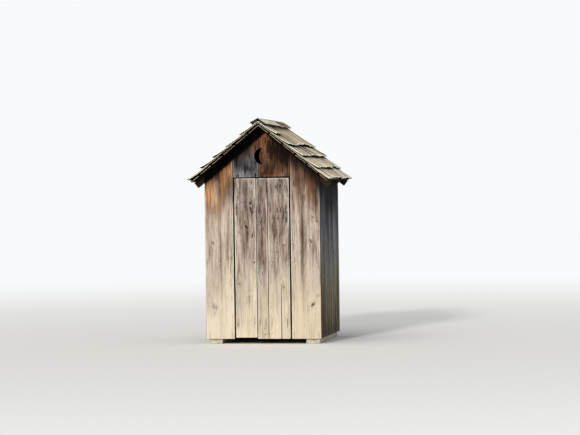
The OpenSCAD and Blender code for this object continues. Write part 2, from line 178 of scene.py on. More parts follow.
def noise(x, y, seed):
    """Smooth noise from -1 to 1 over two coordinates."""
    x, y = np.broadcast_arrays(np.asarray(x, float), np.asarray(y, float))
    ix, iy = np.floor(x), np.floor(y)
    fx, fy = x - ix, y - iy
    fx, fy = fx * fx * (3 - 2 * fx), fy * fy * (3 - 2 * fy)
    low = cell_value(ix, iy, seed) * (1 - fx) + cell_value(ix + 1, iy, seed) * fx
    high = cell_value(ix, iy + 1, seed) * (1 - fx) + cell_value(ix + 1, iy + 1, seed) * fx
    return 2 * (low * (1 - fy) + high * fy) - 1


def grain_depth(across, along, seed):
    """How deep weather has cut the soft grain at a place, from 0 to 1."""
    shift = 0.006 * noise(across * 8, along * 1.3, seed + 5)
    ridges = noise((across + shift) * 80, along * 1.2, seed)
    fibres = noise((across + shift) * 240, along * 4, seed + 1)
    waves = noise(across * 7, along * 1.6, seed + 2)
    return np.clip(0.5 + 0.3 * ridges + 0.12 * fibres + 0.2 * waves, 0, 1)


def ribbed_depth(across, along, seed):
    """Relief of a shake's split face: ribs along the grain that wander a little."""
    shift = 0.008 * noise(across * 6, along * 3, seed + 5)
    ribs = noise((across + shift) * 42, along * 1.5, seed)
    small = noise((across + shift) * 130, along * 4, seed + 1)
    waves = noise(across * 9, along * 5, seed + 2)
    return np.clip(0.5 + 0.36 * ribs + 0.16 * small + 0.2 * waves, 0, 1)


# Solids of the frame

def solids(node):
    """Each solid of a CAD node, as its welded corners and its triangles."""
    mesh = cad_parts[node].data
    mesh.calc_loop_triangles()
    points = np.zeros(len(mesh.vertices) * 3)
    mesh.vertices.foreach_get("co", points)
    corners = np.zeros(len(mesh.loop_triangles) * 3, np.int64)
    mesh.loop_triangles.foreach_get("vertices", corners)
    points, index = np.unique(points.reshape(-1, 3).round(6), axis=0, return_inverse=True)
    triangles = index.reshape(-1)[corners].reshape(-1, 3)
    label = np.arange(len(points))
    settled = False
    while not settled:
        new = label.copy()
        for k in range(3):
            np.minimum.at(new, triangles[:, k], label[triangles].min(1))
        settled = (new == label).all()
        label = new
    found = []
    for value in np.unique(label[triangles[:, 0]]):
        own = triangles[label[triangles[:, 0]] == value]
        used, places = np.unique(own, return_inverse=True)
        found.append((points[used], places.reshape(-1, 3)))
    return found


def face_loops(points, triangles, across, along, out):
    """The closed outlines of the outermost face that looks along out, as places across and along."""
    a, b, c = points[triangles.T]
    normal = np.cross(b - a, c - a)
    length = np.linalg.norm(normal, axis=1)
    level = np.abs(a @ out - (points @ out).max()) < 1e-4
    facing = level & (length > 0) & (normal @ out > 0.99 * length)
    edges = dict.fromkeys((t[k], t[(k + 1) % 3]) for t in triangles[facing] for k in range(3))
    after = {start: end for start, end in edges if (end, start) not in edges}
    loops = []
    while after:
        start, place = after.popitem()
        loop = [start]
        while place != start:
            loop.append(place)
            place = after.pop(place)
        flat = np.stack([points[loop] @ across, points[loop] @ along], 1)
        loops.append(without_straight_points(flat))
    return loops


def without_straight_points(loop):
    """The loop without the points that lie on a straight line between their neighbours."""
    before, after = loop - np.roll(loop, 1, 0), np.roll(loop, -1, 0) - loop
    lengths = np.linalg.norm(before, axis=1) * np.linalg.norm(after, axis=1)
    return loop[np.abs(turn_of(before, after)) > 1e-4 * lengths]


def pitch_of(node):
    """The slope of a node's widest upward face."""
    corners = [points[triangles.T] for points, triangles in solids(node)]
    normals = np.concatenate([np.cross(b - a, c - a) for a, b, c in corners])
    widest = max(normals[normals[:, 2] > 0], key=np.linalg.norm)
    return math.acos(widest[2] / np.linalg.norm(widest))


def lowest(node, direction):
    """How far along a direction a node begins."""
    return min((points @ direction).min() for points, _ in solids(node))


def middle_z(node):
    """The height of a node's middle."""
    low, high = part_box(node)
    return (low.z + high.z) / 2


def basis(along, out):
    """Across, along and out, at right angles to one another."""
    return np.cross(along, out), along, out


def slope_axes(side, pitch):
    """Across a slope along the house, up the slope, and out of it."""
    up = np.array([-side * math.cos(pitch), 0, math.sin(pitch)])
    return basis(up, np.array([side * math.sin(pitch), 0, math.cos(pitch)]))


# The roof's slopes, the height at which the undersides of its boards meet, and how much of a shake shows
ROOF_PITCH = pitch_of("left_roof_boards")
SLOPES = {side: slope_axes(side, ROOF_PITCH) for side in (-1, 1)}
DECK_UNDERSIDE = lowest("left_roof_boards", SLOPES[-1][2]) / math.cos(ROOF_PITCH)
EXPOSURE = (lowest("left_course_5", SLOPES[-1][1]) - lowest("left_course_1", SLOPES[-1][1])) / 4


# Flat geometry

def turn_of(first, second):
    """How far the second of each pair of flat vectors turns to the left of the first."""
    return first[:, 0] * second[:, 1] - first[:, 1] * second[:, 0]


def unit(rows):
    """The rows at a length of 1."""
    return rows / np.maximum(np.linalg.norm(rows, axis=1), 1e-9)[:, None]


def resampled(loop, step_across, step_along):
    """The loop with points added so that none is further from the next than the steps."""
    out = []
    for start, end in zip(loop, np.roll(loop, -1, 0)):
        span = np.abs(end - start)
        count = int(max(1, math.ceil(span[0] / step_across), math.ceil(span[1] / step_along)))
        out += [start + (end - start) * k / count for k in range(count)]
    return np.array(out)


def inward(loop):
    """Vectors from each point of a loop into the wood beside it, a little longer at corners."""
    both = unit(loop - np.roll(loop, 1, 0)) + unit(np.roll(loop, -1, 0) - loop)
    side = np.stack([-both[:, 1], both[:, 0]], 1)
    return unit(side) / np.maximum(np.linalg.norm(side, axis=1) / 2, 0.45)[:, None]


def room(loop, loops, depth):
    """The share of a depth that each point can move into the wood, less where it is narrow."""
    free = edge_distance(loop + inward(loop) * depth, loops) > 0.9 * depth
    return np.where(free, 1.0, 0.45)[:, None]


def segments(loops):
    """Pairs of the two ends of each edge of the outlines."""
    return [(start, end) for loop in loops for start, end in zip(loop, np.roll(loop, -1, 0))]


def inside(places, loops):
    """Whether each place lies within the outlines, with an outline inside another one taken as a hole."""
    hits = np.zeros(len(places), int)
    for (x0, y0), (x1, y1) in segments(loops):
        crosses = (y0 > places[:, 1]) != (y1 > places[:, 1])
        if crosses.any():
            x = x0 + (places[:, 1] - y0) / (y1 - y0) * (x1 - x0)
            hits += crosses & (places[:, 0] < x)
    return hits % 2 == 1


def edge_distance(places, loops):
    """Distance from each place to the nearest outline."""
    best = np.full(len(places), 1e9)
    for start, end in segments(loops):
        d = end - start
        t = np.clip(((places - start) @ d) / max(d @ d, 1e-12), 0, 1)
        best = np.minimum(best, np.linalg.norm(places - start - t[:, None] * d, axis=1))
    return best


def triangulated(places, constraints, loops):
    """Points and triangles within the outlines that keep the constrained edges, and where each place went."""
    vectors = [Vector(p) for p in places]
    points, _, faces, origins, _, _ = delaunay_2d_cdt(vectors, constraints, [], 0, 1e-7)
    points = np.array([tuple(p) for p in points])
    faces = np.array(faces)
    faces = faces[inside(points[faces].mean(1), loops)]
    a, b, c = points[faces.T]
    turn = turn_of(b - a, c - a)
    faces[turn < 0] = faces[turn < 0][:, ::-1]
    went = np.zeros(len(places), int)
    for new, olds in enumerate(origins):
        went[olds] = new
    return points, faces[np.abs(turn) > 1e-12], went


# Pieces

def placed(name, data):
    """A new object in the scene."""
    piece = bpy.data.objects.new(name, data)
    bpy.context.scene.collection.objects.link(piece)
    return piece


class Surface:
    """The points, faces and pattern values of one piece, which may hold several boards."""

    def __init__(self):
        self.points = []
        self.faces = []
        self.values = {"grain": [], "knot": [], "board": []}
        self.count = 0

    def add(self, points, faces, **values):
        """Adds points with their pattern values, and faces that count from the first of them."""
        self.points.append(points)
        self.faces.extend((np.asarray(face) + self.count).tolist() for face in faces)
        for name, rows in self.values.items():
            rows.append(np.broadcast_to(values[name], (len(points), 3)))
        self.count += len(points)

    def made(self, name, material, body, replaces=()):
        """The piece as an object that rides on a body and stands for CAD nodes."""
        mesh = bpy.data.meshes.new(name)
        mesh.from_pydata(np.concatenate(self.points).tolist(), [], self.faces)
        mesh.update()
        for key, rows in self.values.items():
            layer = mesh.attributes.new(key, "FLOAT_VECTOR", "POINT")
            layer.data.foreach_set("vector", np.concatenate(rows).astype(np.float32).ravel())
        mesh.shade_smooth()
        mesh.set_sharp_from_angle(angle=math.radians(35))
        mesh.materials.append(material)
        piece = placed(name, mesh)
        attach(piece, body)
        if replaces:
            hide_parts(*replaces)


def knot_field(places, knots):
    """Distance from the nearest knot in its radii, its hue and strength, and how far the grain bends."""
    distance = np.full(len(places), 9.0)
    hue, shown, bend = np.zeros((3, len(places)))
    for x, z, radius, tint, strength in knots:
        dx, dz = (places[:, 0] - x) / radius, (places[:, 1] - z) / radius
        lean = 0.5 * math.sin(977 * x + 331 * z)
        reach = np.hypot(dx + lean * dz, dz / (1.15 + 0.25 * np.minimum(np.hypot(dx, dz / 3), 4)))
        turn = np.arctan2(dz, dx)
        reach *= 1 + 0.25 * noise(1.5 * np.cos(turn) + 50 * x, 1.5 * np.sin(turn) + 50 * z, 31)
        nearer = reach < distance
        hue = np.where(nearer, tint, hue)
        open_side = np.clip(0.75 + 0.4 * np.cos(turn - KNOT_OPEN), 0, 1)
        shown = np.where(nearer, strength * open_side, shown)
        distance = np.minimum(distance, reach)
        bend -= 0.85 * dx * radius * np.exp(-(dx / 2.2) ** 2 - (dz / 6) ** 2)
    return distance, hue, shown, bend


def stain_field(places, stains):
    """How dark each place is stained."""
    total = np.zeros(len(places))
    for x, z, half_width, half_height, strength in stains:
        dx, dz = (places[:, 0] - x) / half_width, (places[:, 1] - z) / half_height
        total += strength * np.exp(-dx ** 2 - dz ** 2)
    return np.minimum(total, 1.5)


def split_lines(splits, seed, beside=0.003):
    """Each split as five rows of places: beside it, left lip, bottom, right lip, and beside it."""
    lines = []
    for k, (x0, z0, x1, z1, width) in enumerate(splits):
        t = np.linspace(0, 1, max(6, int(abs(z1 - z0) / 0.012)))
        x = x0 + (x1 - x0) * t + 0.0015 * noise(t * 6, k, seed)
        z = z0 + (z1 - z0) * t
        half = 0.5 * width * np.minimum(1, 6 * np.minimum(t, 1 - t)) + 0.0003
        shifts = (-half - beside, -half, 0 * half, half, half + beside)
        lines.append([np.stack([x + shift, z], 1) for shift in shifts])
    return lines


def knot_rings(knots):
    """Places in rings round each knot, so that its form and grain show."""
    rows = [np.zeros((0, 2))]
    for x, z, radius, _, _ in knots:
        rows.append([[x, z]])
        for ring, reach in enumerate((0.4, 0.75, 1.0, 1.25, 1.7, 2.4, 3.3)):
            count = 12 + 2 * (ring % 2)
            turn = np.arange(count) * 2 * math.pi / count + 0.3 * ring
            wide = radius * reach
            tall = wide * (1.1 + 0.25 * reach)
            rows.append(np.stack([x + wide * np.cos(turn), z + tall * np.sin(turn)], 1))
    return np.concatenate(rows)


def grid_places(low, high, steps, seed, knots, lines):
    """Places strewn over a face, in rings at its knots, and none beside the lines of its splits."""
    counts = [max(2, int(round((high[k] - low[k]) / steps[k]))) for k in range(2)]
    a, b = (low[k] + (np.arange(1, counts[k]) / counts[k]) * (high[k] - low[k]) for k in range(2))
    grid_a, grid_b = np.meshgrid(a, b)
    grid_b = grid_b + 0.3 * steps[1] * noise(grid_a * 90, grid_b * 50, seed + 40)
    grid = np.stack([grid_a.ravel(), grid_b.ravel()], 1)
    grid = grid[knot_field(grid, knots)[0] > 3.5]
    for _, _, middle, _, _ in lines:
        near = (grid[:, 1] > middle[:, 1].min() - 0.006) & (grid[:, 1] < middle[:, 1].max() + 0.006)
        near &= np.abs(grid[:, 0] - np.interp(grid[:, 1], middle[:, 1], middle[:, 0])) < 0.008
        grid = grid[~near]
    return np.concatenate([grid, knot_rings(knots)])


def face_points(loops, steps, margin, seed, knots=(), splits=()):
    """Places for one face of a plank, the edges to be kept, and 1 for a split's places or 2 at its bottom."""
    ring = np.concatenate(loops)
    edges = []
    for loop in loops:
        start = len(edges)
        edges += [(start + k, start + (k + 1) % len(loop)) for k in range(len(loop))]
    lines = split_lines(splits, seed)
    grid = grid_places(ring.min(0), ring.max(0), steps, seed, knots, lines)
    border = np.concatenate([loop + inward(loop) * margin for loop in loops])
    places = [ring]
    for rows, free in ((border, 0.7), (grid, 1.6)):
        rows = rows[inside(rows, loops)]
        places.append(rows[edge_distance(rows, loops) > free * margin])
    kinds = [0] * sum(len(rows) for rows in places)
    for line in lines:
        for kind, row in zip((0, 1, 2, 1, 0), line):
            row = row[inside(row, loops)]
            edges += [(n, n + 1) for n in range(len(kinds), len(kinds) + len(row) - 1)]
            places.append(row)
            kinds += [kind] * len(row)
    return np.concatenate(places), edges, np.array(kinds)


def plank(surface, loops, axes, top, bottom, seed, steps=(0.007, 0.028), relief=0.0012, wobble=0.0012,
          chamfer=0.0015, knots=(), splits=(), stains=()):
    """A board with the given outlines, grain, knots, splits and worn edges, from bottom to top along out."""
    plane, out = np.stack(axes[:2]), axes[2]
    rng = np.random.default_rng(seed)
    offset = rng.uniform(-5, 5, 3)
    tone = rng.uniform(0, 1)

    def level(flat, faces, height, depth=0.0, bend=0.0, knot=NO_KNOT, edge=0.0, back=0):
        """Adds one level of the board with its faces, and returns the places of its points in the surface."""
        first = surface.count
        heights = np.full(len(flat), height)
        board = [heights * 0 + tone + 2 * back, heights * 0 + edge, stain_field(flat, stains)]
        surface.add(
            flat @ plane + (heights + depth)[:, None] * out, faces, knot=knot, board=np.stack(board, 1),
            grain=np.stack([flat[:, 0] + bend, flat[:, 1], heights], 1) + offset
        )
        return first + np.arange(len(flat))

    outer, rim = [], []
    for loop in loops:
        loop = resampled(loop, steps[0] * 2, steps[1])
        share = room(loop, loops, wobble + chamfer)
        worn = wobble * (0.5 + 0.5 * noise(loop[:, 0] * 35, loop[:, 1] * 9, seed + 11))
        worn[1::2] += NEVER_STRAIGHT
        outer.append(loop + inward(loop) * worn[:, None] * share)
        rim.append(outer[-1] + inward(outer[-1]) * chamfer * share)
    ring = np.concatenate(outer)
    rings = []
    for back, height, sign, own_steps, *marks in (
        (0, top, -1, steps, knots, splits), (1, bottom, 1, (steps[0] * 2.5, steps[1] * 2))
    ):
        places, edges, kinds = face_points(rim, own_steps, steps[0] * 0.7, seed + back, *marks)
        flat, faces, went = triangulated(places, edges, rim)
        distance, hue, shown, bend = knot_field(flat, knots)
        depth = relief * grain_depth(flat[:, 0] + bend, flat[:, 1], seed + 7 * back)
        if not back:
            depth += 0.0012 * np.exp(-((distance - 1.1) / 0.22) ** 2)
            depth -= np.minimum(0.0008 * np.exp(-(distance / 0.8) ** 2), depth)
        depth[went[kinds == 2]] = SPLIT_DEPTH
        edge = np.minimum(edge_distance(flat, rim), EDGE_REACH)
        edge[went[kinds > 0]] = IN_SPLIT
        knot = np.stack([np.minimum(distance, NO_KNOT[0]), hue, shown], 1)
        index = level(flat, faces[:, ::-sign], height, sign * depth, bend, knot, edge, back)
        rings.append(index[went[:len(ring)]])
    rings[1:1] = [level(ring, [], height) for height in (top - chamfer, bottom + chamfer)]
    start = 0
    for loop in outer:
        k = np.arange(start, start + len(loop))
        n = np.roll(k, -1)
        for upper, lower in zip(rings, rings[1:]):
            surface.faces.extend(np.stack([upper[k], lower[k], lower[n], upper[n]], 1).tolist())
        start += len(loop)


def corner_grid(points, axes):
    """The eight corners of a six-sided solid, ordered low to high across, along and out."""
    own = points @ np.stack(axes, 1)
    high = own > (own.min(0) + own.max(0)) / 2
    order = np.lexsort((own[:, 2], high[:, 1], high[:, 0]))
    return points[order].reshape(2, 2, 2, 3)


def no_painted_shade(u, v, length):
    """No painted shade on a block."""
    return 0.0 * u


def all_dirt(u, v, length):
    """Painted shade all over."""
    return 0.0 * u + 1


def middle_dirt(u, v, length):
    """Painted shade all over but at the very ends."""
    return 1.0 * (np.minimum(v, length - v) >= 0.0005)


def rim_dirt(u, v, length):
    """Painted shade on the faces round a block."""
    return 1.0 * ((v < 0.0005) | (v > length - 0.0005) | (u < 0.0005) | (u > u.max() - 0.0005))


def spaced(size, step, chamfer):
    """Places from 0 to 1 along an edge, with one close to each end."""
    edge = min(chamfer / size, 0.2)
    return np.concatenate([[0], np.linspace(edge, 1 - edge, max(2, int(round(size / step)))), [1]])


def block(surface, points, axes, seed, steps=(0.012, 0.05), relief=0.001, wobble=0.001, ragged=0.001,
          chamfer=0.002, rows=None, depth=grain_depth, share=0.3, dirt=no_painted_shade, low_dirt=no_painted_shade, curl=(0.0, 0.0),
          trim=None, under=1.0):
    """A six-sided board with grain along its second axis, worn edges and a first end that can curl up."""
    corners = corner_grid(points, axes)
    rng = np.random.default_rng(seed)
    offset = rng.uniform(-5, 5, 3)
    tone = rng.uniform(0, 1)
    middle = corners.mean(2)
    width = np.linalg.norm(middle[1].mean(0) - middle[0].mean(0))
    length = np.linalg.norm(middle[:, 1].mean(0) - middle[:, 0].mean(0))
    rows = spaced(length, steps[1], chamfer) if rows is None else rows
    a, b = np.meshgrid(spaced(width, steps[0], chamfer), rows, indexing="ij")
    u, v = a * width, b * length
    on_edge = np.minimum(np.minimum(a, 1 - a), np.minimum(b, 1 - b)) == 0
    left, right = (wobble / width * (0.5 + 0.5 * noise(v * 14, k, seed + 20)) for k in (0, 7))
    first, last = (
        ragged / length * (0.5 + 0.3 * noise(u * 48, k, seed + 21) + 0.2 * noise(u * 160, k, seed))
        for k in (0, 7)
    )
    if trim:
        first = trim(u) / length
    real_a = left + a * (1 - left - right)
    real_b = first + b * (1 - first - last)
    low, high = np.einsum(
        "imn,jmn,ijlk->lmnk", np.stack([1 - real_a, real_a]), np.stack([1 - real_b, real_b]), corners
    )
    thickness = np.linalg.norm(high - low, axis=2)
    up = (high - low) / thickness[:, :, None]
    lift = rng.uniform(0, curl[0]) + rng.uniform(0.2, 1) * curl[1] * (2 * a - 1) ** 2
    lift = lift * np.clip(1 - v / CURL_REACH, 0, 1) ** 2
    edge = np.minimum(SIDE_WEAR * np.minimum(u, width - u), np.minimum(v, length - v))
    edge = np.minimum(edge, EDGE_REACH)
    sheets, grain, board = [], [], []
    for sheet, level, sign, part, rule in ((high, 1, -1, 1, dirt), (low, 0, 1, under, low_dirt)):
        cut = relief * depth(u, v, seed + level) + chamfer * on_edge
        cut = np.minimum(cut, np.where(on_edge, 0.45, share) * thickness)
        sheets.append(sheet + (lift + sign * part * cut)[:, :, None] * up)
        grain.append(np.stack([u, v, 0 * u + level * thickness.mean()], 2) + offset)
        # The third value is the painted shade that the rules give to the top and the underside
        board.append(np.stack([0 * u + tone, edge, rule(u, v, length)], 2))
    index = np.arange(a.size).reshape(a.shape)
    top = np.stack([index[:-1, :-1], index[1:, :-1], index[1:, 1:], index[:-1, 1:]], -1).reshape(-1, 4)
    rim = np.concatenate([index[:, 0], index[-1, 1:], index[-2::-1, -1], index[0, -2:0:-1]])
    after = np.roll(rim, -1)
    sides = np.stack([rim, rim + a.size, after + a.size, after], 1)
    faces = np.concatenate([top, top[:, ::-1] + a.size, sides])
    sheets, grain, board = (np.reshape(rows, (-1, 3)) for rows in (sheets, grain, board))
    surface.add(sheets, faces, grain=grain, knot=NO_KNOT, board=board)


# Node graphs

def srgb(colour):
    """The linear values of a colour that is given by the numbers a screen shows."""
    return tuple(c / 255 / 12.92 if c <= 10 else ((c / 255 + 0.055) / 1.055) ** 2.4 for c in colour) + (1,)


class Graph:
    """The nodes of a material or a world. Its colours are the numbers that a screen shows."""

    def __init__(self, owner):
        self.owner = owner
        owner.use_nodes = True
        self.tree = owner.node_tree
        self.tree.nodes.clear()

    def put(self, socket, value):
        if isinstance(value, bpy.types.NodeSocket):
            self.tree.links.new(value, socket)
        else:
            socket.default_value = value

    def node(self, kind, inputs=(), **settings):
        """A node with its settings, and with links or values for its inputs."""
        node = self.tree.nodes.new("ShaderNode" + kind)
        for key, value in settings.items():
            setattr(node, key, value)
        for key, value in dict(inputs).items():
            self.put(node.inputs[key], value)
        return node

    def math(self, operation, *values):
        return self.node("Math", enumerate(values), operation=operation).outputs[0]

    def times(self, *values):
        """The product of the values."""
        product = values[0]
        for value in values[1:]:
            product = self.math("MULTIPLY", product, value)
        return product

    def total(self, *shares, start=0.0):
        """A start with values added, each times its own share."""
        for value, share in shares:
            start = self.math("MULTIPLY_ADD", value, share, start)
        return start

    def away(self, value, middle):
        """How far a value is from a middle."""
        return self.math("ABSOLUTE", self.math("SUBTRACT", value, middle))

    def noise(self, vector, scales, detail=2.0, roughness=0.5):
        scaled = self.node("VectorMath", {0: vector, 1: scales}, operation="MULTIPLY").outputs[0]
        inputs = {"Vector": scaled, "Scale": 1.0, "Detail": detail, "Roughness": roughness}
        return self.node("TexNoise", inputs).outputs["Fac"]

    def between(self, value, low, high, to_low=0.0, to_high=1.0):
        """A smooth change from one value to another while another value goes from low to high."""
        inputs = {"Value": value, "From Min": low, "From Max": high, "To Min": to_low, "To Max": to_high}
        return self.node("MapRange", inputs, interpolation_type="SMOOTHSTEP").outputs["Result"]

    def mix(self, first, second, share, blend="MIX"):
        first, second = (srgb(c) if isinstance(c, tuple) else c for c in (first, second))
        inputs = {0: share, 6: first, 7: second}
        return self.node("Mix", inputs, data_type="RGBA", blend_type=blend).outputs[2]

    def ramp(self, value, stops):
        """A colour that changes with a value; each stop is a place followed by its colour."""
        node = self.node("ValToRGB", {"Fac": value})
        elements = node.color_ramp.elements
        while len(elements) < len(stops):
            elements.new(1.0)
        for element, (place, *colour) in zip(elements, stops):
            element.position = place
            element.color = srgb(colour)
        return node.outputs["Color"]

    def split(self, vector):
        return self.node("SeparateXYZ", {0: vector}).outputs

    def place(self):
        return self.node("TexCoord").outputs["Object"]

    def finish(self, colour, roughness, height, strength, distance, **fixed):
        """The finished material, with bumps of a height."""
        bump = self.node("Bump", {"Height": height, "Strength": strength, "Distance": distance})
        inputs = {"Base Color": colour, "Roughness": roughness, "Normal": bump.outputs["Normal"]}
        inputs.update((key.replace("_", " "), value) for key, value in fixed.items())
        self.node("OutputMaterial", {0: self.node("BsdfPrincipled", inputs).outputs[0]})
        return self.owner


class Wood(Graph):
    """The patterns that every wood here shares, read from the piece's own grain, and its colour so far."""

    def __init__(self, name):
        super().__init__(bpy.data.materials.new(name))
        self.x, _, self.z = self.split(self.place())
        self.grain, knot, board = (
            self.node("Attribute", attribute_name=key).outputs["Vector"] for key in ("grain", "knot", "board")
        )
        self.knot, self.hue, self.shown = self.split(knot)
        # The board's third value holds real stains on planks and painted shade on blocks
        board, self.edge, self.stain_and_shade = self.split(board)
        self.tone = self.math("FRACT", board)
        self.outer = self.math("LESS_THAN", board, 1.5)
        self.fibre = self.along_grain(600, 8, 3.0, 0.6)
        self.line = self.along_grain(170, 1.4, 5.0, 0.72)
        self.fleck = self.along_grain(95, 12, 3.0, 0.6)
        self.streak = self.along_grain(75, 1.7, 4.0, 0.6)
        self.mottle = self.along_grain(32, 3.4, 3.0, 0.55)
        self.band = self.along_grain(18, 0.7)
        self.patch = self.along_grain(4.5, 1.3)
        self.broad = self.along_grain(9, 0.6)
        across = self.split(self.grain)[0]
        self.rings = self.math("SINE", self.total((across, 75 * 2 * math.pi), (self.patch, 50)))
        crack = self.away(self.along_grain(60, 1.3, 2.0, 0.45), 0.5)
        self.check = self.times(self.between(crack, 0.004, 0.016, 1, 0), self.between(self.patch, 0.45, 0.6))

    def along_grain(self, across, along, detail=2.0, roughness=0.5):
        return self.noise(self.grain, (across, along, across), detail, roughness)

    def swing(self, *shares, start=0.0):
        """A start with patterns added, each about its middle and with its own share."""
        middle = 0.5 * sum(share for _, share in shares)
        return self.math("SUBTRACT", self.total(*shares, start=start), middle)

    def weather(self):
        """How strongly weather has marked the wood, from little near the ground to fully above."""
        return self.between(self.z, 0.3, 1.1, 0.35, 1.0)

    def by_height(self, stops, fingers=1.2, lean=0.0, middle=0.0, own=0.0):
        """Colours up the wall, with streaks past each change, leaning or at each board's own height."""
        top = 2.4
        where = self.swing(
            (self.band, fingers), (self.streak, 0.8 * fingers), (self.line, 0.6 * fingers),
            (self.patch, 0.7 * fingers), (self.tone, own),
            start=self.total((self.math("SUBTRACT", self.x, middle), -lean), start=self.z)
        )
        where = self.math("DIVIDE", where, top)
        self.colour = self.ramp(where, [(height / top, *colour) for height, *colour in stops])

    def mottled(self, first, second, third):
        """Three colours that change along the grain."""
        colour = self.mix(first, second, self.between(self.patch, 0.35, 0.62))
        return self.mix(colour, third, self.between(self.band, 0.42, 0.68))

    def lay(self, colour, *shares):
        """Lays a colour over the wood, as strongly as the product of the shares."""
        self.colour = self.mix(self.colour, colour, self.times(*shares))

    def worked(self, dark, pale, streaks, flecks, checks=0.7, tone=0.25, contrast=1.0, rim=0.93, weather=1.0,
               lit=0.5, broad=0.5):
        """Lays fibres, streaks, flecks, checks and worn edges with a painted highlight over the colour,
        paints shade on board sides and in splits, and sets the bumps.
        """
        level = self.total((self.tone, tone), start=1 - tone / 2)
        grey = self.node("CombineColor", dict.fromkeys(range(3), level)).outputs[0]
        self.colour = self.mix(self.colour, grey, 1.0, "MULTIPLY")
        self.lay(dark, self.total((self.rings, 0.05), start=0.05))
        swing = self.times(self.swing(
            (self.line, 1.5), (self.fibre, 0.7), (self.fleck, 0.9), (self.streak, 1.6), (self.band, 1.3),
            (self.mottle, 1.5), (self.broad, broad)
        ), weather, contrast)
        self.lay(dark, swing, -1.0)
        self.lay(pale, swing, 0.9)
        self.lay(dark, self.stain_and_shade, 0.26)
        where = self.swing((self.band, 0.5), (self.patch, 0.25), start=self.streak)
        where = self.total((self.stain_and_shade, 0.14), start=where)
        self.lay(dark, self.between(where, 0.56, 0.74, 0, streaks), weather)
        where = self.swing((self.mottle, 0.5), (self.patch, 0.3), start=self.fleck)
        where = self.total((self.stain_and_shade, 0.15), start=where)
        self.lay(dark, self.between(where, 0.62, 0.69, 0, flecks), weather)
        # Pale worn edges, with a painted highlight as strong as lit
        worn = self.times(self.between(self.edge, 0.001, 0.011, lit, 0), self.between(self.mottle, 0.3, 0.55))
        self.lay(pale, worn, self.between(self.stain_and_shade, 0.4, 1.0, 1, 0), weather)
        # Painted shade on the boards' sides and edges, where the gaps between them fall dark
        self.lay((34, 26, 21), self.between(self.edge, 0.0001, 0.0012, rim, 0))
        # Painted shade inside the splits
        self.lay((20, 15, 12), self.between(self.edge, -0.0008, -0.0002, 0.96, 0))
        self.lay((38, 30, 26), self.check, checks, weather)
        self.bumps = self.total((self.line, 1.0), (self.streak, 0.5), (self.fibre, 0.5), (self.check, -0.8))

    def knotted(self, dark, pale):
        """Lays knots over the colour and cuts them into the bumps."""
        knot = self.swing((self.along_grain(110, 60), 0.9), start=self.knot)
        core = self.ramp(self.hue, [(0.0, 58, 40, 30), (0.6, 138, 100, 74), (1.0, 202, 122, 56)])
        ring = self.math("SINE", self.times(knot, 15))
        core = self.mix(core, (92, 60, 38), self.total((ring, 0.25), start=0.25))
        core = self.mix(core, (38, 25, 18), self.between(knot, 0.3, 0.7, 0.95, 0))
        self.lay(pale, self.between(self.away(knot, 1.5), 0.1, 0.6, 0.1, 0.0), self.shown)
        self.lay(dark, self.between(knot, 1.0, 3.6, 0.6, 0), self.between(self.line, 0.45, 0.6), self.shown)
        self.lay(core, self.between(knot, 0.75, 1.15, 1, 0), self.shown)
        rim = self.between(self.away(knot, 1.0), 0.05, 0.3, 0.8, 0.0)
        rim = self.times(rim, self.shown, self.between(self.mottle, 0.36, 0.52))
        self.lay((56, 38, 29), rim)
        self.bumps = self.total((rim, -0.5), start=self.bumps)

    def painted_eave_shade(self, deep, reach):
        """Lays on painted shade under the roof: a painted black shadow beside it, and soot with painted shade
        from deep down to reach.
        """
        slopes = ((self.z, -math.cos(ROOF_PITCH)), (self.away(self.x, PAINTED_SHADE_SHIFT), -math.sin(ROOF_PITCH)))
        below = self.total(*slopes, start=DECK_UNDERSIDE * math.cos(ROOF_PITCH))
        peak = self.between(self.math("ABSOLUTE", self.x), 0.03, 0.12, 0.16, 0.0)
        soot_and_shade = self.swing(
            (self.streak, -0.2), (self.fleck, -0.12), (self.band, -0.12), start=self.math("ADD", below, peak)
        )
        # Soot with painted shade under the roof, paler at the peak
        self.lay((19, 13, 11), self.between(soot_and_shade, deep, reach, 0.92, 0), self.outer)
        below = self.swing((self.streak, -0.03), (self.line, -0.02), start=below)
        # Painted black shadow right under the roof's edge
        self.lay((4, 3, 3), self.between(below, 0.05, 0.07, 0.98, 0), self.outer)

    def sawn(self, dark, pale, *shares, soot_and_shade=(0.0, 0.1), **options):
        """The finished material of a board with knots, weathered outside and brown inside."""
        self.colour = self.mix(self.mottled(*INSIDE), self.colour, self.outer)
        self.worked(dark, pale, *shares, **options)
        self.knotted(dark, pale)
        self.painted_eave_shade(*soot_and_shade)
        return self.done()

    def done(self, relief=0.5):
        roughness = self.between(self.streak, 0.3, 0.7, 0.92, 0.78)
        return self.finish(self.colour, roughness, self.bumps, relief, 0.0025, Specular_IOR_Level=0.06)


def front_left_wood():
    wood = Wood("front_board_left_wood")
    wood.by_height((
        (0.05, 230, 218, 192), (0.45, 228, 215, 190), (0.75, 206, 188, 170), (0.9, 200, 182, 166),
        (1.12, 217, 199, 184), (1.3, 198, 176, 158), (1.44, 152, 122, 98), (1.55, 206, 154, 104),
        (1.72, 200, 136, 80), (1.86, 126, 78, 46), (2.05, 84, 54, 38)
    ), 1.0, 1.1, -0.46)
    return wood.sawn(
        (92, 68, 54), (242, 233, 215), 0.55, 0.5, contrast=1.2, weather=wood.weather(),
        lit=wood.between(wood.z, 1.4, 1.65, 0.7, 0.1), soot_and_shade=(0.03, 0.14)
    )


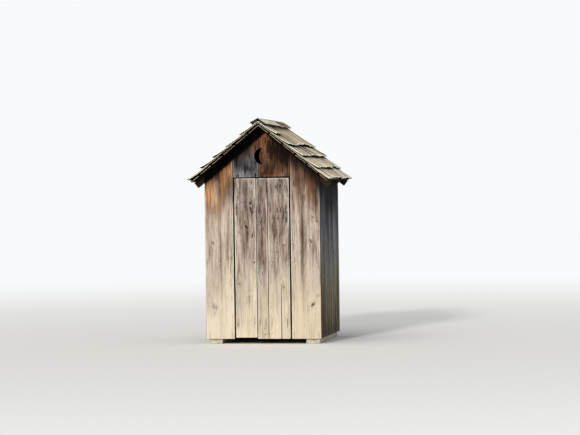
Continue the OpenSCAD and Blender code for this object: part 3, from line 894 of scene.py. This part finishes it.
def front_right_wood():
    wood = Wood("front_board_right_wood")
    wood.by_height((
        (0.05, 226, 211, 182), (0.45, 224, 208, 182), (0.75, 206, 189, 172), (1.12, 214, 196, 182),
        (1.32, 194, 173, 156), (1.46, 152, 124, 104), (1.56, 136, 98, 70), (1.72, 108, 68, 44),
        (1.9, 70, 45, 33)
    ), 1.2, -0.6, 0.46)
    return wood.sawn(
        (78, 55, 44), (240, 229, 210), 0.6, 0.6, contrast=1.3, weather=wood.weather(),
        lit=wood.between(wood.z, 1.4, 1.65, 0.7, 0.05), soot_and_shade=(0.08, 0.2)
    )


def gable_left_wood():
    wood = Wood("gable_board_left_wood")
    wood.by_height((
        (1.7, 148, 147, 150), (1.79, 104, 103, 106), (1.87, 66, 62, 64), (1.93, 96, 84, 78),
        (2.02, 124, 78, 50), (2.25, 110, 68, 44)
    ), 0.6)
    return wood.sawn((28, 24, 26), (176, 173, 176), 0.8, 0.8, contrast=1.3, lit=0.3, soot_and_shade=(0.04, 0.15))


def gable_right_wood():
    wood = Wood("gable_board_right_wood")
    wood.by_height((
        (1.7, 150, 98, 62), (1.8, 92, 62, 46), (1.93, 86, 58, 42), (2.03, 160, 98, 58), (2.25, 150, 92, 56)
    ), 0.7)
    return wood.sawn((26, 18, 15), (168, 140, 116), 0.8, 0.85, contrast=1.35, lit=0.25, soot_and_shade=(0.075, 0.2))


def door_wood():
    wood = Wood("door_wood")
    wood.by_height((
        (0.05, 230, 216, 188), (0.4, 226, 211, 184), (0.64, 196, 180, 163), (0.9, 176, 157, 143),
        (1.25, 172, 152, 139), (1.5, 174, 157, 146), (1.72, 154, 140, 131)
    ))
    return wood.sawn((68, 46, 38), (240, 230, 216), 0.6, 0.9, contrast=1.75, weather=wood.weather(), lit=0.8)


def wall_wood():
    wood = Wood("wall_wood")
    # The near-black top under the eaves and the blue-grey above it are painted shade; lower down the colours
    # are the weathered wood's own
    wood.by_height((
        (0.05, 74, 56, 34), (0.25, 98, 82, 54), (0.5, 128, 117, 82), (0.85, 138, 136, 130),
        (1.15, 114, 117, 127), (1.32, 80, 84, 96), (1.44, 40, 41, 48), (1.53, 20, 17, 17), (2.1, 16, 13, 12)
    ), 0.6, own=0.26)
    shade = wood.between(wood.z, 1.15, 1.48, 1.0, 0.05)
    return wood.sawn(
        (48, 45, 44), (202, 201, 198), 0.75, 0.6, 0.95, 0.5, contrast=0.9, broad=2.5, weather=shade
    )


def shake_wood():
    wood = Wood("shake_wood")
    wood.colour = wood.ramp(wood.tone, (
        (0.0, 254, 244, 216), (0.22, 210, 186, 140), (0.42, 116, 93, 62), (0.58, 252, 238, 204),
        (0.78, 142, 117, 80), (1.0, 236, 217, 178)
    ))
    bands = wood.swing((wood.band, 0.5), (wood.streak, 0.4), start=wood.along_grain(13, 0.7, 3.0, 0.6))
    wood.lay((84, 67, 44), wood.between(bands, 0.54, 0.63, 0, 0.9))
    wood.lay((255, 247, 224), wood.between(bands, 0.36, 0.47, 0.9, 0))
    wood.worked((66, 50, 33), (254, 245, 218), 0.65, 0.5, 0.9, 0.1, 1.15, 0.0, lit=0.9, broad=2.2)
    # Painted highlight along the butts and edges of each shake
    wood.lay((255, 250, 232), wood.between(wood.edge, 0.001, 0.03, 0.85, 0))
    # Painted shadow: black at the butts, under the next course and on the undersides
    wood.lay((6, 5, 4), wood.between(wood.stain_and_shade, 0.6, 0.8, 0, 0.98))
    return wood.done(0.7)


def timber_wood(name, colours, dark, pale, painted_shade_colour=None, tone=0.3):
    """Wood of the frame, the floor and the roof's underside; what lies deep in the shade can be painted dark
    as shade.
    """
    wood = Wood(name)
    wood.colour = wood.mottled(*colours)
    wood.worked(dark, pale, 0.5, 0.4, 0.5, tone, rim=0.0, lit=0.4)
    if painted_shade_colour:
        wood.lay(painted_shade_colour, wood.between(wood.stain_and_shade, 0.2, 0.45, 0, 0.98))
    return wood.done()


def rusty_iron():
    graph = Graph(bpy.data.materials.new("rusty_iron"))
    place = graph.place()
    coarse = graph.noise(place, (90, 90, 90), 4.0, 0.6)
    fine = graph.noise(place, (700, 700, 700), 3.0, 0.6)
    rusts = ((0.3, 44, 33, 29), (0.45, 80, 50, 37), (0.6, 118, 72, 46), (0.75, 150, 98, 64))
    colour = graph.ramp(coarse, rusts)
    colour = graph.mix(colour, (60, 44, 38), graph.between(fine, 0.5, 0.7))
    height = graph.total((fine, 0.5), start=coarse)
    roughness = graph.between(coarse, 0.3, 0.7, 0.65, 0.95)
    return graph.finish(colour, roughness, height, 0.6, 0.001, Metallic=0.25)


# Boards of the walls and the door

def random_knots(low, high, rng, spacing=0.45):
    """Knots strewn along a board, with their radii, hues and strengths."""
    knots = []
    z = low[1] + rng.uniform(0.1, spacing)
    while z < high[1] - 0.1:
        x = rng.uniform(low[0] + 0.04, high[0] - 0.04)
        knots.append((x, z, rng.uniform(0.007, 0.016), rng.uniform(0, 0.6), rng.uniform(0.5, 1)))
        z += rng.uniform(0.5, 1.5) * spacing
    return knots


def nail_places(low, high, heights, rng, margin=0.032):
    """Two nails side by side at each height of a board."""
    return [
        (x + rng.uniform(-0.006, 0.006), height + rng.uniform(-0.012, 0.012))
        for height in heights for x in (low[0] + margin, high[0] - margin)
    ]


def nail_heads(surface, places, axes, top, rng, radius=0.0032, proud=0.0007, sides=8):
    """Domed heads that stand a little out of the wood."""
    across, along, out = axes
    turn = np.arange(sides) * 2 * math.pi / sides
    round_way = np.cos(turn)[:, None] * across + np.sin(turn)[:, None] * along
    k = np.arange(sides)
    n = (k + 1) % sides
    faces = [(a + j, b + j, b + j + sides, a + j + sides) for j in (0, sides) for a, b in zip(k, n)]
    faces += [(2 * sides + a, 2 * sides + b, 3 * sides) for a, b in zip(k, n)]
    faces += [(b, a, 3 * sides + 1) for a, b in zip(k, n)]
    levels = ((1.0, -0.002), (1.0, 0.0), (0.75, 0.8 * proud))
    for x, z in places:
        centre = x * across + z * along + top * out
        size = radius * rng.uniform(0.85, 1.15)
        rings = [centre + reach * size * round_way + height * out for reach, height in levels]
        points = np.concatenate(rings + [[centre + proud * out], [centre - 0.002 * out]])
        surface.add(points, faces, grain=(0, 0, 0), knot=NO_KNOT, board=(0, 0, 0))


def boarding(node, out, material, body, slot, heights, nails, seed, knotty=False, **shape):
    """The boards of one node with their knots and splits; their nail heads are added to another surface."""
    surface = Surface()
    axes = basis(Z, out)
    rng = np.random.default_rng(seed)
    for k, (points, triangles) in enumerate(solids(node)):
        loops = face_loops(points, triangles, *axes)
        depth = points @ out
        ring = np.concatenate(loops)
        low, high = ring.min(0), ring.max(0)
        knots = KNOTS.get(node, []) + (random_knots(low, high, rng) if knotty else [])
        knots, splits = (
            [mark for mark in marks if low[0] < mark[0] < high[0]] for marks in (knots, SPLITS.get(node, []))
        )
        places = nail_places(low, high, heights, rng)
        places = [place for place in places if inside(np.array([place]), loops)[0]]
        stains = STAINS.get(node, []) + [(x, z - 0.022, 0.006, 0.03, 1.2) for x, z in places]
        plank(
            surface, loops, axes, depth.max(), depth.min(), seed + 10 * k,
            knots=knots, splits=splits, stains=stains, **shape
        )
        nail_heads(nails, places, axes, depth.max() - 0.0006, rng)
    surface.made(node + "_planks", material, body, [node])


LOW_Z = middle_z("floor_joists")
GIRT_Z = middle_z("wall_girts")
PLATE_Z = middle_z("left_plate")
HEADER_Z = middle_z("door_header")
FRONT_ZS = (LOW_Z, 0.5, GIRT_Z, 1.3, PLATE_Z - 0.03)
GABLE_ZS = (HEADER_Z + 0.02, 1.9)
BATTEN_ZS = [points[:, 2].mean() + shift for points, _ in solids("door_battens") for shift in (-0.02, 0.02)]

house_nails = Surface()
door_nails = Surface()
for k, (node, material, heights) in enumerate((
    ("front_board_left", front_left_wood(), FRONT_ZS), ("front_board_right", front_right_wood(), FRONT_ZS),
    ("gable_board_left", gable_left_wood(), GABLE_ZS), ("gable_board_right", gable_right_wood(), GABLE_ZS),
)):
    boarding(node, -Y, material, "house", "front_wood", heights, house_nails, 101 + k, steps=(0.006, 0.024))
material = door_wood()
for k, node in enumerate(("door_board_left", "door_board_middle", "door_board_right")):
    boarding(node, -Y, material, "door", "door_wood", BATTEN_ZS, door_nails, 111 + k, steps=(0.006, 0.024))
material = wall_wood()
for k, (name, out) in enumerate((("left", -X), ("right", X), ("back", Y))):
    boarding(
        name + "_wall_boards", out, material, "house", "wall_wood", (LOW_Z, GIRT_Z, PLATE_Z), house_nails,
        200 + 100 * k, True, steps=(0.008, 0.032), relief=0.0016, wobble=0.0022, chamfer=0.002
    )
rust = rusty_iron()
house_nails.made("house_nails", rust, "house")
door_nails.made("door_nails", rust, "door")


# Timber of the frame and the floor

def timber(node, along, out, material, slot, seed, body="house", ending="_timber", stride=3, **shape):
    """The straight timbers of one node."""
    surface = Surface()
    for k, (points, _) in enumerate(solids(node)):
        block(surface, points, basis(along, out), seed + stride * k, **shape)
    surface.made(node + ending, material, body, [node])


def girts():
    """Rails between the posts, each with its grain along it."""
    surface = Surface()
    for k, (points, _) in enumerate(solids("wall_girts")):
        size = np.ptp(points, axis=0)
        block(surface, points, basis(Y, X) if size[1] > size[0] else basis(X, Y), 600 + k)
    surface.made("wall_girts_timber", frame_wood, "house", ["wall_girts"])


def rafters(node, side, seed):
    """Rafters, sawn to their outline, with their grain down the slope."""
    surface = Surface()
    axes = basis(SLOPES[side][1], -Y)
    for k, (points, triangles) in enumerate(solids(node)):
        depth = points @ axes[2]
        loops = face_loops(points, triangles, *axes)
        plank(surface, loops, axes, depth.max(), depth.min(), seed + k, (0.014, 0.04), 0.001, 0.001)
    surface.made(node + "_timber", rafter_wood, "house", [node])


FRAME_COLOURS = (((112, 86, 60), (94, 70, 50), (128, 102, 74)), (50, 36, 28), (152, 128, 98))
frame_wood = timber_wood("frame_wood", *FRAME_COLOURS)
# The studs and header behind the door's gaps have their fronts painted near black as painted shade
jamb_wood = timber_wood("jamb_wood", *FRAME_COLOURS, (16, 12, 10))
# Rafters darkened throughout as painted shade under the roof
rafter_wood = timber_wood(
    "rafter_wood", ((58, 43, 31), (44, 33, 25), (70, 54, 39)), (26, 20, 15), (94, 76, 56)
)
floor_wood = timber_wood(
    "floor_wood", ((128, 112, 92), (110, 96, 80), (142, 126, 104)), (66, 56, 48), (166, 150, 126)
)
# Roof boards painted near black as shade on their tops and undersides, which leaves the lower edge of their
# ends pale as if lit
deck_wood = timber_wood(
    "deck_wood", ((144, 120, 90), (112, 92, 68), (168, 146, 114)), (44, 34, 26), (214, 192, 154),
    (8, 6, 5), 0.7
)
skid_wood = timber_wood(
    "skid_wood", ((232, 219, 192), (208, 193, 164), (240, 229, 204)), (112, 96, 78), (246, 236, 214)
)
for node in ("left_skid", "right_skid"):
    timber(node, Y, Z, skid_wood, "skid_wood", 500, chamfer=0.004, ragged=0.003)
timber("floor_joists", X, Z, frame_wood, "frame_wood", 510)
timber("floor_boards", Y, Z, floor_wood, "floor_wood", 520)
timber("corner_posts", Z, -Y, frame_wood, "frame_wood", 540)
timber("door_studs", Z, -Y, jamb_wood, "frame_wood", 550, dirt=all_dirt)
timber("door_header", X, -Y, jamb_wood, "frame_wood", 580, dirt=all_dirt)
for node in ("left_plate", "right_plate"):
    timber(node, Y, Z, frame_wood, "frame_wood", 570)
timber("back_header", X, Z, frame_wood, "frame_wood", 585)
timber("door_battens", X, Y, frame_wood, "frame_wood", 590, "door")
girts()
rafters("left_rafters", -1, 620)
rafters("right_rafters", 1, 640)


# Roof

class Shake:
    """The corners of a shake, where it lies across its course, and how far its butt is worn back."""

    def __init__(self, points, across, seed):
        self.points = points
        self.low = (points @ across).min()
        self.width = (points @ across).max() - self.low
        self.seed = seed
        self.short = np.random.default_rng(seed + 5000).uniform(0, 1)

    def trim(self, u):
        """How far the butt is worn back at each place across."""
        waves = 0.007 * noise(u * 15, 3, self.seed) + 0.003 * noise(u * 50, 5, self.seed)
        return 0.009 + 0.025 * self.short + waves + 0.001 * noise(u * 170, 7, self.seed)


def lap_line(across, above):
    """How far up a shake the butts of the course above lie, at each place across."""
    line = np.full(across.shape, 1.0)
    for shake in above:
        over = (across >= shake.low - 0.004) & (across <= shake.low + shake.width + 0.004)
        line = np.where(over, EXPOSURE + shake.trim(across - shake.low), line)
    return line


def course_rows(length, shown=0.21):
    """Places from 0 to 1 up a shake, finest where it lies open to the weather."""
    split = min(shown / length, 1)
    rows = np.linspace(0.005, split, 24)
    if split < 0.95:
        rows = np.concatenate([rows, np.linspace(split, 0.995, 6)[1:]])
    else:
        rows[-1] = 0.995
    return np.concatenate([[0], rows, [1]])


def course(node, side, shakes, above=()):
    """A row of split shakes."""
    surface = Surface()
    for shake in shakes:
        def dirt(u, v, length):
            """Painted shadow: dark at the butt's end and where the next course lies over it, but not at its
            sides.
            """
            dark = 1.0 * (v < 0.0005)
            if above:
                lap = lap_line(shake.low + u, above) - 0.03
                within = (u > 0.0005) & (u < shake.width - 0.0005)
                dark = np.maximum(dark, np.clip((v - lap) / 0.008, 0, 1) * within)
            return dark

        block(
            surface, shake.points, SLOPES[side], shake.seed, steps=(0.0075, 0.02), relief=0.0045,
            wobble=0.0025, ragged=0.002, chamfer=0.0014,
            rows=course_rows(np.ptp(shake.points @ SLOPES[side][1])), depth=ribbed_depth, share=0.4,
            dirt=dirt, low_dirt=all_dirt, curl=(0.013, 0.009), trim=shake.trim, under=0.15
        )
    surface.made(node + "_shakes", shake_material, "house", [node])


def ridge_board(node, side, seed):
    """A ridge board, with the scraps of shake that it rests on."""
    # The ends, long sides and underside are painted black as shade
    timber(
        node, Y * side, slope_axes(side, pitch_of(node))[2], shake_material, "shake_wood", seed,
        ending="_wood", stride=1, steps=(0.006, 0.02), relief=0.0022, wobble=0.0015, ragged=0.004,
        chamfer=0.0014, depth=ribbed_depth, share=0.25, dirt=rim_dirt, low_dirt=all_dirt
    )


shake_material = shake_wood()
for side, name in ((-1, "left"), (1, "right")):
    timber(
        name + "_roof_boards", Y, SLOPES[side][2], deck_wood, "deck_wood", 700 + side,
        chamfer=0.001, wobble=0.002, ragged=0.003, dirt=all_dirt, low_dirt=middle_dirt
    )
    rows = [name + "_starter_course"] + [f"{name}_course_{k}" for k in range(1, 6)]
    seed = 1000 + 200 * side
    shakes = [
        [Shake(points, SLOPES[side][0], seed + 10 * k + n) for n, (points, _) in enumerate(solids(row))]
        for k, row in enumerate(rows)
    ]
    for k, row in enumerate(rows):
        course(row, side, shakes[k], shakes[k + 1] if 0 < k < 5 else ())
ridge_board("left_ridge_board", -1, 1501)
ridge_board("right_ridge_board_front", 1, 1502)
ridge_board("right_ridge_board_back", 1, 1503)

# Hinges

for node in ("hinge_frame_leaves", "hinge_door_leaves", "hinge_pins"):
    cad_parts[node].data.materials.clear()
    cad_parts[node].data.materials.append(rust)


# Stage

def floor():
    """A wide pale floor that fades into the background away from the object."""
    graph = Graph(bpy.data.materials.new("floor_paint"))
    place = graph.place()
    distance = graph.node("VectorMath", {0: place}, operation="LENGTH").outputs["Value"]
    colour = graph.mix((224, 223, 220), (230, 229, 226), graph.noise(place, (60, 60, 60), 3.0))
    rays = graph.node("LightPath").outputs
    paint = graph.node("BsdfDiffuse", {"Color": colour}).outputs[0]
    glow = graph.node("Emission", {"Color": SKY_SEEN, "Strength": 1.0}).outputs[0]
    far = graph.times(graph.between(distance, 2.0, 16.0), rays["Is Camera Ray"])
    blend = graph.node("MixShader", {0: far, 1: paint, 2: glow}).outputs[0]
    graph.node("OutputMaterial", {0: blend})
    sides = 64
    radii = (4.0, 12.0, 60.0)
    turns = [2 * math.pi * k / sides for k in range(sides)]
    points = [(0.0, 0.0, 0.0)] + [(r * math.cos(t), r * math.sin(t), 0.0) for r in radii for t in turns]
    pairs = [(k, (k + 1) % sides) for k in range(sides)]
    faces = [(0, 1 + k, 1 + n) for k, n in pairs]
    for low, high in ((1, 1 + sides), (1 + sides, 1 + 2 * sides)):
        faces += [(low + k, high + k, high + n, low + n) for k, n in pairs]
    mesh = bpy.data.meshes.new("floor")
    mesh.from_pydata(points, [], faces)
    mesh.materials.append(graph.owner)
    piece = placed("floor", mesh)


def sky():
    """An even light from all round, and a paler background."""
    graph = Graph(bpy.data.worlds.new("sky"))
    rays = graph.node("LightPath").outputs
    direct = graph.math("MAXIMUM", rays["Is Camera Ray"], rays["Is Glossy Ray"])
    light = graph.node("Background", {0: (0.96, 0.98, 1.0, 1), 1: SKY_LEVEL}).outputs[0]
    seen = graph.node("Background", {0: SKY_SEEN}).outputs[0]
    blend = graph.node("MixShader", {0: direct, 1: light, 2: seen}).outputs[0]
    graph.node("OutputWorld", {0: blend})
    bpy.context.scene.world = graph.owner


def lamp(name, level, azimuth, elevation, spread, colour):
    """A distant lamp that shines from a direction in front of the house."""
    light = bpy.data.lights.new(name, "SUN")
    light.energy = level
    light.angle = math.radians(spread)
    light.color = colour
    azimuth, elevation = math.radians(azimuth), math.radians(elevation)
    flat = math.cos(elevation)
    away = Vector((math.sin(azimuth) * flat, -math.cos(azimuth) * flat, math.sin(elevation)))
    piece = placed(name, light)
    piece.rotation_mode = "QUATERNION"
    piece.rotation_quaternion = away.to_track_quat("Z", "Y")


def camera():
    """The photograph's camera, with the front boards at the distance that was fitted."""
    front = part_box("front_board_left")[0].y
    data = bpy.data.cameras.new("camera")
    data.sensor_width = 36
    data.lens = FOCAL_PIXELS / IMAGE_WIDTH * data.sensor_width
    data.clip_end = 200
    step = Vector((math.sin(CAMERA_AZIMUTH), -math.cos(CAMERA_AZIMUTH), 0)) * CAMERA_DISTANCE
    place = step + Vector((0, front, CAMERA_HEIGHT))
    aimed = (Vector((AIM_X, front, AIM_Z)) - place).to_track_quat("-Z", "Y").to_matrix().to_4x4()
    piece = placed("camera", data)
    piece.matrix_world = Matrix.Translation(place) @ aimed @ Matrix.Rotation(CAMERA_ROLL, 4, "Z")
    bpy.context.scene.camera = piece


floor()
sky()
for name, values in LAMPS.items():
    lamp(name, *values)
camera()
bpy.context.scene.view_settings.view_transform = "Standard"
